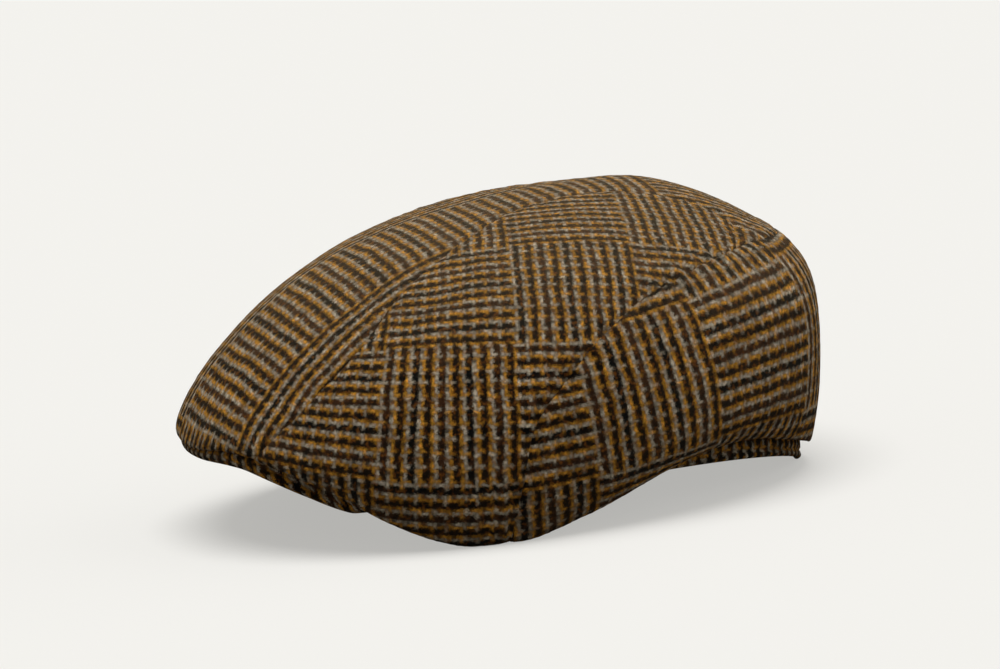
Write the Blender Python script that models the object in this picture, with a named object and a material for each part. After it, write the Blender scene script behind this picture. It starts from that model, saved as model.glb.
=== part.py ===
"""A flat cap of thick tweed, lying on its two temple lobes and the back of its rim band.

The crown is sewn from four panels: a top panel, two side panels and a back panel.
The front of the cap faces -Y, the wearer's left is +X, and the cap rests on z = 0.
"""
import math

import bmesh
import bpy
from mathutils import Vector

MM = 0.001

# Overall sizes, in millimetres.
HALF_LENGTH = 138.3
HALF_WIDTH = 111.0
HEIGHT = 129.0

# Cloth, seams and clearances, in millimetres.
CLOTH = 2.2
SEAM_GAP = 0.5
FIT_GAP = 0.4

# Rim band, in millimetres.
BAND_THICK = 3.0
BAND_LAP = 4.0
BAND_FRONT = 78.2
BAND_FRONT_TALL = 11.0
BAND_RISE = 16.5
BAND_RISE_ANGLE = 100.0
BAND_FLAT_ANGLE = 166.0
BAND_FLOOR_GAP = 2.0

# Peak, in millimetres.
PEAK_THICK = 6.5
PEAK_INSET = 1.5
PEAK_ROUND = 2.4
PEAK_TUCK = 8.0
PEAK_BROW = 31.0
PEAK_END_ANGLE = 80.0

# Lobe of the side panels that hangs at the temple, in degrees from the front.
LOBE_ANGLE = 75.0
LOBE_FRONT_SPREAD = 31.5
LOBE_BACK_SPREAD = 29.0

# Rings of the crown from the turned hem up to the pole, as shares of the overall sizes.
# front and back are reaches, wide is the half width, and the last five are heights:
# at the front, temple, ear and back, and how far the temple lobe hangs below them.
RINGS = (
    # name,       front,  back,   wide,  square, z_front, z_temple, z_ear, z_back, lobe
    ("hem",        0.961,  0.937,  0.793, 2.25,   0.361,   0.352,    0.235, 0.078,  0.315),
    ("roll",       1.004,  0.960,  0.906, 2.25,   0.350,   0.331,    0.219, 0.066,  0.315),
    ("bulge",      0.963,  0.989,  1.000, 2.25,   0.442,   0.288,    0.303, 0.317,  0.054),
    ("side",       0.859,  1.000,  0.977, 2.20,   0.569,   0.520,    0.577, 0.604,  0.016),
    ("shoulder",   0.701,  0.928,  0.830, 2.10,   0.716,   0.725,    0.772, 0.764,  0.000),
    ("top",        0.466,  0.733,  0.600, 2.00,   0.860,   0.884,    0.900, 0.904,  0.000),
    ("crest",      0.132,  0.495,  0.325, 2.00,   0.956,   0.972,    0.980, 0.995,  0.000),
    ("pole",      -0.213,  0.213,  0.000, 2.00,   1.000,   1.000,    1.000, 1.000,  0.000),
)

# Seams on the crown: degrees round from the front, and the share of the way up to the pole.
TOP_SEAM = (
    (26.0, 0.000),
    (27.0, 0.140),
    (28.5, 0.280),
    (32.0, 0.360),
    (37.5, 0.460),
    (41.0, 0.540),
    (43.0, 0.620),
    (48.0, 0.690),
    (53.0, 0.770),
    (60.0, 0.850),
    (90.0, 0.885),
    (116.0, 0.875),
    (132.0, 0.830),
    (141.0, 0.745),
    (139.0, 0.660),
    (127.0, 0.590),
)
BACK_SEAM = (
    (78.0, 0.000),
    (78.0, 0.140),
    (78.0, 0.260),
    (78.5, 0.360),
    (83.0, 0.420),
    (90.0, 0.490),
    (96.5, 0.530),
    (108.5, 0.560),
    (127.0, 0.590),
    (152.0, 0.585),
    (180.0, 0.575),
)
BACK_SEAM_MEETING = 8

# Divisions of the panels.
LONG_CELLS = 26
TEMPLE_CELLS = 10
TOP_CELLS = 10
SIDE_CELLS = 16
BACK_CELLS = 12
BAND_CELLS = 72
PEAK_CELLS = 44

CLOTH_COLOURS = {
    "top_panel": (0.150, 0.105, 0.055),
    "side_panel_left": (0.125, 0.085, 0.045),
    "side_panel_right": (0.125, 0.085, 0.045),
    "back_panel": (0.130, 0.090, 0.048),
    "peak": (0.115, 0.080, 0.042),
    "rim_band": (0.105, 0.072, 0.040),
}


def catmull(before, start, end, after, t):
    """Value of a smooth curve through start and end."""
    return 0.5 * (
        2.0 * start
        + (end - before) * t
        + (2.0 * before - 5.0 * start + 4.0 * end - after) * t * t
        + (3.0 * start - before - 3.0 * end + after) * t ** 3
    )


def smooth_step(low, high, value):
    t = min(max((value - low) / (high - low), 0.0), 1.0)
    return t * t * (3.0 - 2.0 * t)


def signed_power(value, power):
    return math.copysign(abs(value) ** power, value)


def height_wave(front, temple, ear, back, angle):
    """Smooth height round the ring through its values at 0, 60, 120 and 180 degrees."""
    mean = (front / 2 + temple + ear + back / 2) / 3
    once = (front + temple - ear - back) / 3
    twice = (front - temple - ear + back) / 3
    thrice = (front - 2 * temple + 2 * ear - back) / 6
    return (mean + once * math.cos(angle) + twice * math.cos(2 * angle)
            + thrice * math.cos(3 * angle))


def lobe_share(angle):
    """How far the temple lobe hangs at an angle, from 0 to 1."""
    away = abs(math.degrees(math.atan2(math.sin(angle), math.cos(angle)))) - LOBE_ANGLE
    spread = LOBE_FRONT_SPREAD if away < 0 else LOBE_BACK_SPREAD
    return math.exp(-((away / spread) ** 2))


def ring_sizes():
    """Rings in millimetres as (centre, half length, half width, squareness, heights, lobe)."""
    rows = []
    for _name, front, back, wide, square, *heights in RINGS:
        ahead = front * HALF_LENGTH
        behind = back * HALF_LENGTH
        rows.append([
            (ahead - behind) / 2,
            (ahead + behind) / 2,
            wide * HALF_WIDTH,
            square,
            *[share * HEIGHT for share in heights],
        ])
    return rows


def padded_rings():
    """The rings with one more at each end, the last one mirrored across the pole."""
    rows = ring_sizes()
    below = [2 * low - high for low, high in zip(rows[0], rows[1])]
    near = rows[-2]
    beyond = [
        2 * rows[-1][0] - near[0], -near[1], -near[2], near[3],
        near[7], near[6], near[5], near[4], near[8],
    ]
    return [below] + rows + [beyond]


PADDED_RINGS = padded_rings()


def ring_at(up):
    """Ring values at a share of the way from the hem to the pole."""
    spans = len(PADDED_RINGS) - 3
    place = min(max(up, 0.0), 1.0) * spans
    index = min(int(place), spans - 1)
    t = place - index
    rows = PADDED_RINGS[index:index + 4]
    return [catmull(*values, t) for values in zip(*rows)]


def crown_point(angle, up):
    """Point on the outside of the crown, in millimetres."""
    centre, half_length, half_width, square, front, temple, ear, back, lobe = ring_at(up)
    power = 2.0 / square
    ahead = centre + half_length * signed_power(math.cos(angle), power)
    side = half_width * signed_power(math.sin(angle), power)
    height = height_wave(front, temple, ear, back, angle) - lobe * lobe_share(angle)
    return Vector((side, -ahead, max(height, 0.0)))


def disc(degrees, up):
    """Flat map of the crown: the hem is the unit circle and the pole is its middle."""
    angle = math.radians(degrees)
    return Vector(((1.0 - up) * math.sin(angle), (1.0 - up) * math.cos(angle)))


def on_crown(spot):
    angle = math.atan2(spot.x, spot.y)
    return crown_point(angle, 1.0 - min(spot.length, 1.0))


def crown_normal(spot):
    """Outward normal of the crown at a spot of the flat map."""
    reach = min(spot.length, 0.995)
    step = 0.004
    if reach < 1e-6:
        return Vector((0.0, 0.0, 1.0))
    base = spot.normalized() * reach
    along = base.normalized()
    around = Vector((along.y, -along.x))
    radial = on_crown(base + along * step) - on_crown(base - along * step)
    turned = on_crown(base + around * step) - on_crown(base - around * step)
    return turned.cross(radial).normalized() * -1.0


def seam_spot(table, place):
    """Spot on a seam, place counting its rows."""
    spots = [disc(*row) for row in table]
    spots = [2 * spots[0] - spots[1]] + spots + [2 * spots[-1] - spots[-2]]
    index = min(int(place), len(table) - 2)
    return catmull(*spots[index:index + 4], place - index)


def even_spots(spot_at, start, end, cells):
    """Spots along a line of the flat map, evenly spaced on the crown."""
    fine = [spot_at(start + (end - start) * i / 160) for i in range(161)]
    points = [on_crown(spot) for spot in fine]
    run = [0.0]
    for before, after in zip(points, points[1:]):
        run.append(run[-1] + (after - before).length)
    spots = []
    index = 0
    for cell in range(cells + 1):
        wanted = run[-1] * cell / cells
        while index < 159 and run[index + 1] < wanted:
            index += 1
        t = (wanted - run[index]) / max(run[index + 1] - run[index], 1e-9)
        spots.append(fine[index].lerp(fine[index + 1], min(max(t, 0.0), 1.0)))
    return spots


def hem_spot(degrees):
    return disc(degrees, 0.0)


def mirrored(spots):
    return [Vector((-spot.x, spot.y)) for spot in spots]


def top_seam_spots():
    return even_spots(lambda t: seam_spot(TOP_SEAM, t), 0, len(TOP_SEAM) - 1, LONG_CELLS)


def side_border_spots():
    """Hem from the foot of the top seam to the temple, then up the back seam to the top seam."""
    hem = even_spots(hem_spot, TOP_SEAM[0][0], BACK_SEAM[0][0], TEMPLE_CELLS)
    rise = even_spots(lambda t: seam_spot(BACK_SEAM, t), 0, BACK_SEAM_MEETING,
                      LONG_CELLS - TEMPLE_CELLS)
    return hem + rise[1:]


def back_seam_top_spots():
    """Back seam from the left top seam over the back to the right one."""
    half = even_spots(lambda t: seam_spot(BACK_SEAM, t), BACK_SEAM_MEETING, len(BACK_SEAM) - 1,
                      TOP_CELLS // 2)
    return half + mirrored(half[-2::-1])


def top_grid():
    """Rows from the peak to the back seam, each from the right seam to the left one."""
    left = top_seam_spots()
    right = mirrored(left)
    front = [hem_spot(TOP_SEAM[0][0] * (2 * i / TOP_CELLS - 1)) for i in range(TOP_CELLS + 1)]
    back = back_seam_top_spots()[::-1]
    rows = []
    for j, (near, far) in enumerate(zip(right, left)):
        v = j / LONG_CELLS
        row = []
        for i in range(TOP_CELLS + 1):
            u = i / TOP_CELLS
            spot = near.lerp(far, u)
            spot = spot + (1 - v) ** 2 * (front[i] - right[0].lerp(left[0], u))
            spot = spot + v ** 2 * (back[i] - right[-1].lerp(left[-1], u))
            row.append(spot)
        rows.append(row)
    return rows


def side_grid(side):
    """Rows along the top seam, each going down to the hem or the back seam."""
    upper = top_seam_spots()
    lower = side_border_spots()
    if side < 0:
        upper = mirrored(upper)
        lower = mirrored(lower)
    return [[a.lerp(b, w / SIDE_CELLS) for w in range(SIDE_CELLS + 1)]
            for a, b in zip(upper, lower)]


def back_grid():
    """Rows round the back, each going from the back seam down to the hem."""
    rise = side_border_spots()[TEMPLE_CELLS:]
    seam = rise + back_seam_top_spots()[1:-1] + mirrored(rise)[::-1]
    hem = even_spots(hem_spot, BACK_SEAM[0][0], 360.0 - BACK_SEAM[0][0], len(seam) - 1)
    return [[a.lerp(b, w / BACK_CELLS) for w in range(BACK_CELLS + 1)]
            for a, b in zip(seam, hem)]


def pulled(grid, i, j, amount):
    """Vertex of a grid, drawn in from the border by a small amount."""
    last_i = len(grid) - 1
    last_j = len(grid[0]) - 1
    inner = grid[min(max(i, 1), last_i - 1)][min(max(j, 1), last_j - 1)]
    pull = inner - grid[i][j]
    if i in (0, last_i) and (grid[i][0] - grid[i][last_j]).length < 1e-4:
        inner_i = 1 if i == 0 else last_i - 1
        pull = grid[inner_i][last_j // 2] - grid[i][j]
        amount = 2 * amount
    if pull.length < 1e-9:
        return grid[i][j].copy()
    return grid[i][j] + pull.normalized() * min(amount, pull.length * 0.45)


def panel_mesh(name, spots):
    """Closed solid of one panel: outer face, inner face and the cut edge between them."""
    outer = [[on_crown(spot) for spot in row] for row in spots]
    normals = [[crown_normal(spot) for spot in row] for row in spots]
    inner = [[point - normal * CLOTH for point, normal in zip(points, facing)]
             for points, facing in zip(outer, normals)]
    half_gap = SEAM_GAP / 2
    rows = len(spots)
    columns = len(spots[0])
    mesh = bmesh.new()
    layers = []
    for grid in (outer, inner):
        layers.append([[mesh.verts.new(pulled(grid, i, j, half_gap) * MM)
                        for j in range(columns)] for i in range(rows)])
    out, inn = layers
    for i in range(rows - 1):
        for j in range(columns - 1):
            mesh.faces.new((out[i][j], out[i][j + 1], out[i + 1][j + 1], out[i + 1][j]))
            mesh.faces.new((inn[i][j], inn[i + 1][j], inn[i + 1][j + 1], inn[i][j + 1]))
    border = [(0, j) for j in range(columns)]
    border += [(i, columns - 1) for i in range(1, rows)]
    border += [(rows - 1, j) for j in range(columns - 2, -1, -1)]
    border += [(i, 0) for i in range(rows - 2, 0, -1)]
    for (a, b), (c, d) in zip(border, border[1:] + border[:1]):
        mesh.faces.new((out[a][b], inn[a][b], inn[c][d], out[c][d]))
    finish(name, mesh)


def ring_plan(ring, angle, inset):
    """Point of a level ring, moved in by inset, as (side, ahead)."""
    centre, half_length, half_width, square = ring[:4]
    power = 2.0 / square
    return Vector((
        (half_width - inset) * signed_power(math.sin(angle), power),
        centre + (half_length - inset) * signed_power(math.cos(angle), power),
    ))


def band_plan(angle, inset):
    """Plan of the rim band: it follows the hem at the back and closes behind the peak."""
    hem = ring_sizes()[0]
    spot = ring_plan(hem, angle, FIT_GAP + inset)
    if math.cos(angle) <= 0:
        return spot
    power = 2.0 / hem[3]
    reach = BAND_FRONT - hem[0] - inset
    return Vector((spot.x, hem[0] + reach * math.cos(angle) ** power))


def ring_height(ring, angle):
    return height_wave(*ring[4:8], angle) - ring[8] * lobe_share(angle)


def band_edges(angle):
    """Heights of the lower and upper edges of the rim band."""
    hem = ring_height(ring_sizes()[0], angle)
    turn = abs(math.degrees(math.atan2(math.sin(angle), math.cos(angle))))
    fall = (turn - BAND_RISE_ANGLE) / (BAND_FLAT_ANGLE - BAND_RISE_ANGLE)
    shown = BAND_RISE * math.cos(math.pi / 2 * min(max(fall, 0.0), 1.0))
    low = min(shown, max(hem - BAND_FLOOR_GAP, BAND_FLOOR_GAP))
    high = max(hem, low) + BAND_LAP
    brow = 1.0 - smooth_step(25, 78, turn)
    front_low = PEAK_BROW - PEAK_THICK
    low = low + (front_low - low) * brow
    high = high + (front_low + BAND_FRONT_TALL - high) * brow
    return low, high


def rim_band_mesh(name):
    """Closed ring of doubled cloth round the head opening."""
    mesh = bmesh.new()
    loops = []
    for i in range(BAND_CELLS):
        angle = 2 * math.pi * i / BAND_CELLS
        low, high = band_edges(angle)
        outer = band_plan(angle, 0.0)
        inner = band_plan(angle, BAND_THICK)
        corners = ((outer, low), (outer, high), (inner, high), (inner, low))
        loops.append([mesh.verts.new(Vector((spot.x, -spot.y, z)) * MM)
                      for spot, z in corners])
    skin(mesh, loops, closed=True)
    finish(name, mesh)


def peak_edge(angle):
    """Upper outer edge of the peak, in millimetres."""
    hem, roll = ring_sizes()[:2]
    turn = abs(math.degrees(angle))
    under_roll = ring_plan(roll, angle, PEAK_INSET)
    within_hem = ring_plan(hem, angle, FIT_GAP)
    plan = under_roll.lerp(within_hem, smooth_step(24, 43, turn))
    height = ring_height(roll, angle) - FIT_GAP + PEAK_TUCK * smooth_step(40, 62, turn)
    return Vector((plan.x, -plan.y, height))


def peak_brow(share):
    """Upper inner edge of the peak against the rim band, in millimetres."""
    end = peak_edge(math.radians(PEAK_END_ANGLE))
    angle = math.radians(PEAK_END_ANGLE - 8.0) * share
    plan = band_plan(angle, -FIT_GAP)
    height = end.z + (PEAK_BROW - end.z) * math.cos(math.pi / 2 * share) ** 1.2
    return Vector((plan.x, -plan.y, height))


def peak_mesh(name):
    """Arched crescent with a rounded front edge."""
    mesh = bmesh.new()
    loops = []
    for i in range(PEAK_CELLS + 1):
        share = 2 * i / PEAK_CELLS - 1
        edge = peak_edge(math.radians(PEAK_END_ANGLE) * share)
        brow = peak_brow(share)
        inward = brow - edge
        width = inward.length
        inward.normalize()
        rounding = min(PEAK_ROUND, width * 0.4)
        down = Vector((0.0, 0.0, -1.0))
        section = [
            brow,
            brow.lerp(edge, 0.4),
            brow.lerp(edge, 0.75),
            edge + inward * rounding,
            edge + inward * rounding * 0.3 + down * PEAK_THICK * 0.16,
            edge + down * PEAK_THICK * 0.5,
            edge + inward * rounding * 0.3 + down * PEAK_THICK * 0.84,
            edge + inward * rounding + down * PEAK_THICK,
            brow.lerp(edge, 0.75) + down * PEAK_THICK,
            brow.lerp(edge, 0.4) + down * PEAK_THICK,
            brow + down * PEAK_THICK,
        ]
        loops.append([mesh.verts.new(point * MM) for point in section])
    skin(mesh, loops, closed=False)
    finish(name, mesh)


def skin(mesh, loops, closed):
    """Joins loops of vertices in order and caps the ends of an open run."""
    following = loops[1:] + (loops[:1] if closed else [])
    for near, far in zip(loops, following):
        count = len(near)
        for k in range(count):
            after = (k + 1) % count
            mesh.faces.new((near[k], near[after], far[after], far[k]))
    if not closed:
        mesh.faces.new(loops[0])
        mesh.faces.new(loops[-1][::-1])


def finish(name, mesh):
    """Turns a mesh into one smooth named object with its own cloth material."""
    bmesh.ops.remove_doubles(mesh, verts=mesh.verts, dist=2e-6)
    bmesh.ops.triangulate(mesh, faces=mesh.faces)
    bmesh.ops.recalc_face_normals(mesh, faces=mesh.faces)
    data = bpy.data.meshes.new(name)
    mesh.to_mesh(data)
    mesh.free()
    data.shade_smooth()
    material = bpy.data.materials.new(name + "_cloth")
    material.use_nodes = True
    shader = material.node_tree.nodes["Principled BSDF"]
    shader.inputs["Base Color"].default_value = (*CLOTH_COLOURS[name], 1.0)
    shader.inputs["Roughness"].default_value = 0.95
    data.materials.append(material)
    bpy.context.scene.collection.objects.link(bpy.data.objects.new(name, data))


def build():
    for item in list(bpy.data.objects):
        bpy.data.objects.remove(item)
    panel_mesh("top_panel", top_grid())
    panel_mesh("side_panel_left", side_grid(1))
    panel_mesh("side_panel_right", side_grid(-1))
    panel_mesh("back_panel", back_grid())
    peak_mesh("peak")
    rim_band_mesh("rim_band")


build()
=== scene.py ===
import math

import bmesh
import bpy
import numpy as np
from mathutils import Matrix, Vector, kdtree, noise


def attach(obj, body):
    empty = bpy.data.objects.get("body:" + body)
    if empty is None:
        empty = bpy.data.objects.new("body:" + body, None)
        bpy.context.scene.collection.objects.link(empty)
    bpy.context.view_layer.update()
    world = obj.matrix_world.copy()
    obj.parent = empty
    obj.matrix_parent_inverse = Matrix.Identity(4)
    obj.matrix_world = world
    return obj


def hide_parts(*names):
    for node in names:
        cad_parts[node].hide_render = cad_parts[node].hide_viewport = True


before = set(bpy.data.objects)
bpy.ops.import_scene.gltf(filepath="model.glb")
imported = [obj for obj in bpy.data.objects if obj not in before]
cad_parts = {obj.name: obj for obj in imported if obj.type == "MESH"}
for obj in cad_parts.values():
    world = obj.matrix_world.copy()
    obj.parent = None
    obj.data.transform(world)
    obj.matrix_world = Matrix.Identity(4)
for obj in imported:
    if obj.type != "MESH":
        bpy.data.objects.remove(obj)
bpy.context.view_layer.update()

bl_info = {
    "name": "Tweed flat cap",
    "version": (1, 0, 0),
    "blender": (4, 5, 0),
    "location": "View3D > Sidebar > Cap",
    "description": "Dresses the solids of a flat cap in checked wool tweed on a plain stage",
    "category": "Object",
}

MM = 0.001

# Points nearer than this are one point, in metres.
MERGE_GAP = 5e-6

# Overall sizes of the crown, in millimetres.
HALF_LENGTH = 138.3
HALF_WIDTH = 111.0
HEIGHT = 129.0

# Rings of the crown from the turned hem up to the pole, as shares of the overall sizes.
# front and back are reaches, wide is the half width, and the last five are heights:
# at the front, temple, ear and back, and how far the temple lobe hangs below them.
RINGS = (
    # name,       front,  back,   wide,  square, z_front, z_temple, z_ear, z_back, lobe
    ("hem",        0.961,  0.937,  0.793, 2.25,   0.361,   0.352,    0.235, 0.078,  0.315),
    ("roll",       1.004,  0.960,  0.906, 2.25,   0.350,   0.331,    0.219, 0.066,  0.315),
    ("bulge",      0.963,  0.989,  1.000, 2.25,   0.442,   0.288,    0.303, 0.317,  0.054),
    ("side",       0.859,  1.000,  0.977, 2.20,   0.569,   0.520,    0.577, 0.604,  0.016),
    ("shoulder",   0.701,  0.928,  0.830, 2.10,   0.716,   0.725,    0.772, 0.764,  0.000),
    ("top",        0.466,  0.733,  0.600, 2.00,   0.860,   0.884,    0.900, 0.904,  0.000),
    ("crest",      0.132,  0.495,  0.325, 2.00,   0.956,   0.972,    0.980, 0.995,  0.000),
    ("pole",      -0.213,  0.213,  0.000, 2.00,   1.000,   1.000,    1.000, 1.000,  0.000),
)

# Lobe of the side panels that hangs at the temple, in degrees from the front.
LOBE_ANGLE = 75.0
LOBE_FRONT_SPREAD = 31.5
LOBE_BACK_SPREAD = 29.0

# Seams on the crown: degrees round from the front, and the share of the way up to the pole.
TOP_SEAM = (
    (26.0, 0.000),
    (27.0, 0.140),
    (28.5, 0.280),
    (32.0, 0.360),
    (37.5, 0.460),
    (41.0, 0.540),
    (43.0, 0.620),
    (48.0, 0.690),
    (53.0, 0.770),
    (60.0, 0.850),
    (90.0, 0.885),
    (116.0, 0.875),
    (132.0, 0.830),
    (141.0, 0.745),
    (139.0, 0.660),
    (127.0, 0.590),
)
BACK_SEAM = (
    (78.0, 0.000),
    (78.0, 0.140),
    (78.0, 0.260),
    (78.5, 0.360),
    (83.0, 0.420),
    (90.0, 0.490),
    (96.5, 0.530),
    (108.5, 0.560),
    (127.0, 0.590),
    (152.0, 0.585),
    (180.0, 0.575),
)
BACK_SEAM_MEETING = 8
FRONT_CORNER = TOP_SEAM[0][0]
TEMPLE_CORNER = BACK_SEAM[0][0]

# Rim band, in millimetres and degrees from the front.
BAND_GAP = 0.4
BAND_THICK = 3.0
BAND_LAP = 4.0
BAND_FRONT = 78.2
BAND_FRONT_TALL = 11.0
BAND_RISE = 16.5
BAND_RISE_ANGLE = 100.0
BAND_FLAT_ANGLE = 166.0
BAND_FLOOR_GAP = 2.0

# Between these degrees from the front the band sinks from the brow to the hem.
BAND_BROW = (25.0, 78.0)

# Groove above the turned edge of the rim band, in millimetres.
GROOVE_HEIGHT = 3.4
GROOVE_DEPTH = 0.7
GROOVE_WIDTH = 0.8

# Peak, in millimetres and degrees from the front.
PEAK_THICK = 6.5
PEAK_INSET = 1.5
PEAK_ROUND = 2.2
PEAK_TUCK = 8.0
PEAK_BROW = 31.0
PEAK_BROW_POWER = 1.2
PEAK_BROW_LAP = 8.0
PEAK_END_ANGLE = 80.0
PEAK_FRONT_THINNER = 2.0
PEAK_SIDE_DEEPER = 3.4

# Stretches of the peak, in degrees from the front: where its edge moves in under the hem, where
# it tucks up under the crown, where it grows deeper and evens out again, and where its lower
# face follows the tuck.
PEAK_MOVES_IN = (24.0, 43.0)
PEAK_TUCKS = (26.0, 46.0)
PEAK_DEEPENS = (20.0, 38.0)
PEAK_EVENS = (47.0, 54.0)
PEAK_LIFTS = (40.0, 62.0)

# How far the soft front of the crown droops over the peak, in millimetres, how wide that is in
# degrees, and between which shares up the crown it fades.
FRONT_DROOP = 4.0
DROOP_SPREAD = 13.0
DROOP_FADE = (0.15, 0.42)

# Sewn seams and brushed cloth, in millimetres: the waves of the puckers along a seam and their
# reach from it, the swell beside it, and the breadth of the dents and of the grain.
PUCKER_WAVE = 8.3
PUCKER_DRIFT = 37.0
PUCKER_RIPPLE = 13.1
PUCKER_REACH = 6.0
SWELL = 0.4
SWELL_PLACE = 5.0
SWELL_REACH = 4.0
DENT_BREADTH = 34.0
GRAIN_BREADTH = 1.7
FLOOR_CLEARANCE = 0.1

# How strongly each seam is gathered: the top seam, the rise of the back seam, and its top.
TOP_GATHER = 0.25
RISE_GATHER = 1.0
BACK_GATHER = 0.4

# Cells of the panels: along them and across them.
LONG_CELLS = 208
TEMPLE_SHARE = 10 / 26
SIDE_CELLS = 100
TOP_CELLS = 120
BACK_RISE_CELLS = 128
BACK_TOP_CELLS = 80
BACK_CELLS = 92

# Steps along a seam, points of a seam's search tree, and how coarse the flat pattern is.
CURVE_STEPS = 1500
SEAM_POINTS = 900
COARSE = 4

# Cells of the peak and the rim band: along them, over each face, and round each edge.
PEAK_SECTIONS = 220
PEAK_FACE_CELLS = 11
PEAK_ROUND_CELLS = 6
BAND_SECTIONS = 360
BAND_OUTER_CELLS = 13
BAND_ROUND_CELLS = 8
BAND_INNER_CELLS = 5

TOP_CHECKS = (
    ((-9.0, 0.267), (84, 0)), ((9.5, 0.220), (55, 0)), ((-8.0, 0.435), (82, 16)),
    ((20.5, 0.372), (40, 16)), ((-2.5, 0.550), (73, 32)), ((32.0, 0.452), (29, 32)),
    ((23.0, 0.595), (45, 48)), ((27.5, 0.674), (46, 64)),
)
LEFT_CHECKS = (
    ((46.5, 0.502), (40, 40)), ((54.5, 0.252), (40, 80)), ((72.0, 0.494), (80, 40)),
    ((78.5, 0.270), (80, 80)), ((102.5, 0.652), (120, 0)), ((63.5, 0.384), (60, 60)),
)
RIGHT_CHECKS = (
    ((-72.0, 0.494), (40, 40)), ((-46.5, 0.502), (80, 40)),
    ((-78.5, 0.270), (40, 80)), ((-54.5, 0.252), (80, 80)),
)
BACK_CHECKS = (
    ((114.0, 0.280), (80, 80)), ((106.0, 0.524), (80, 40)), ((132.5, 0.472), (120, 40)),
    ((146.0, 0.198), (120, 80)),
)


def linear(hex_colour):
    """Linear red, green, blue and alpha of an sRGB hex colour."""
    parts = [int(hex_colour[k:k + 2], 16) / 255 for k in (1, 3, 5)]
    return tuple(p / 12.92 if p <= 0.04045 else ((p + 0.055) / 1.055) ** 2.4 for p in parts) + (1.0,)


class CapSizes(bpy.types.PropertyGroup):
    """Sizes of the cloth and its seams."""

    cloth: bpy.props.FloatProperty(
        name="Cloth", description="Thickness of the tweed", default=0.0022, unit="LENGTH")
    thread: bpy.props.FloatProperty(
        name="Thread", description="Distance between threads, before a panel scales its cloth",
        default=0.00148, unit="LENGTH")
    check: bpy.props.IntProperty(
        name="Check", description="Threads across one block of the check", default=40)
    seam_depth: bpy.props.FloatProperty(
        name="Seam depth", description="How deep the cloth turns in at a seam", default=0.0004,
        unit="LENGTH")
    seam_width: bpy.props.FloatProperty(
        name="Seam width", description="How wide the turned shoulder of a seam is",
        default=0.0030, unit="LENGTH")
    pucker: bpy.props.FloatProperty(
        name="Pucker", description="Height of the small puckers along the back seam", default=0.0008,
        unit="LENGTH")
    dents: bpy.props.FloatProperty(
        name="Dents", description="Height of the broad soft dents of the crown", default=0.0008,
        unit="LENGTH")
    grain: bpy.props.FloatProperty(
        name="Grain", description="Height of the uneven brushed surface", default=0.00022,
        unit="LENGTH")


def colour_property(label, words, hex_colour):
    return bpy.props.FloatVectorProperty(
        name=label, description=words, default=linear(hex_colour), size=4, min=0.0, max=1.0,
        subtype="COLOR")


class CapColours(bpy.types.PropertyGroup):
    """Colours of the yarns and of the floor."""

    black: colour_property("Black yarn", "Darkest yarn of the check", "#07090B")
    brown: colour_property("Brown yarn", "Dark brown yarn", "#231810")
    rust: colour_property("Rust yarn", "Warm brown yarn", "#462B18")
    grey: colour_property("Grey yarn", "Pale grey yarn", "#BDB19A")
    mustard: colour_property("Mustard yarn", "Golden yarn", "#D09334")
    orange: colour_property("Orange flecks", "Bright flecks spun into the yarn", "#A8641F")
    # Laid on most at the top of the crown: partly loose fibres, partly painted sheen.
    fuzz_and_sheen: colour_property("Fuzz", "Pale loose fibres of the brushed face", "#948267")
    floor: colour_property("Floor", "Plain pale floor", "#F4F3EF")


def sizes():
    return bpy.context.scene.cap_sizes


def colours():
    return bpy.context.scene.cap_colours


def catmull(before, start, end, after, t):
    """Value of a smooth curve through start and end."""
    return 0.5 * (
        2.0 * start
        + (end - before) * t
        + (2.0 * before - 5.0 * start + 4.0 * end - after) * t * t
        + (3.0 * start - before - 3.0 * end + after) * t ** 3
    )


def smooth_step(low, high, value):
    """Rises smoothly from 0 at low to 1 at high."""
    t = np.clip((value - low) / (high - low), 0.0, 1.0)
    return t * t * (3.0 - 2.0 * t)


def signed_power(value, power):
    """Power of a value's size, with its sign kept."""
    return np.copysign(np.abs(value) ** power, value)


def ring_rows():
    """Rings in millimetres, with one more at each end, the last one mirrored across the pole."""
    rows = []
    for _name, front, back, wide, square, *heights in RINGS:
        ahead = front * HALF_LENGTH
        behind = back * HALF_LENGTH
        rows.append([(ahead - behind) / 2, (ahead + behind) / 2, wide * HALF_WIDTH, square,
                     *[share * HEIGHT for share in heights]])
    below = [2 * low - high for low, high in zip(rows[0], rows[1])]
    near = rows[-2]
    beyond = [2 * rows[-1][0] - near[0], -near[1], -near[2], near[3],
              near[7], near[6], near[5], near[4], near[8]]
    return np.array([below, *rows, beyond])


RING_ROWS = ring_rows()
HEM_RING = RING_ROWS[1]
ROLL_RING = RING_ROWS[2]


def ring_at(up):
    """Ring values at shares of the way from the hem to the pole."""
    spans = len(RING_ROWS) - 3
    place = np.clip(up, 0.0, 1.0) * spans
    index = np.minimum(place.astype(int), spans - 1)
    t = (place - index)[..., None]
    return catmull(*[RING_ROWS[index + k] for k in range(4)], t)


def ring_height(ring, angle):
    """Height round rings through their values at 0, 60, 120 and 180 degrees, less the lobe."""
    front, temple, ear, back, lobe = np.moveaxis(ring[..., 4:9], -1, 0)
    mean = (front / 2 + temple + ear + back / 2) / 3
    once = (front + temple - ear - back) / 3
    twice = (front - temple - ear + back) / 3
    thrice = (front - 2 * temple + 2 * ear - back) / 6
    wave = (mean + once * np.cos(angle) + twice * np.cos(2 * angle) + thrice * np.cos(3 * angle))
    turn = np.abs(np.degrees(np.arctan2(np.sin(angle), np.cos(angle)))) - LOBE_ANGLE
    spread = np.where(turn < 0, LOBE_FRONT_SPREAD, LOBE_BACK_SPREAD)
    return wave - lobe * np.exp(-((turn / spread) ** 2))


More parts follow.
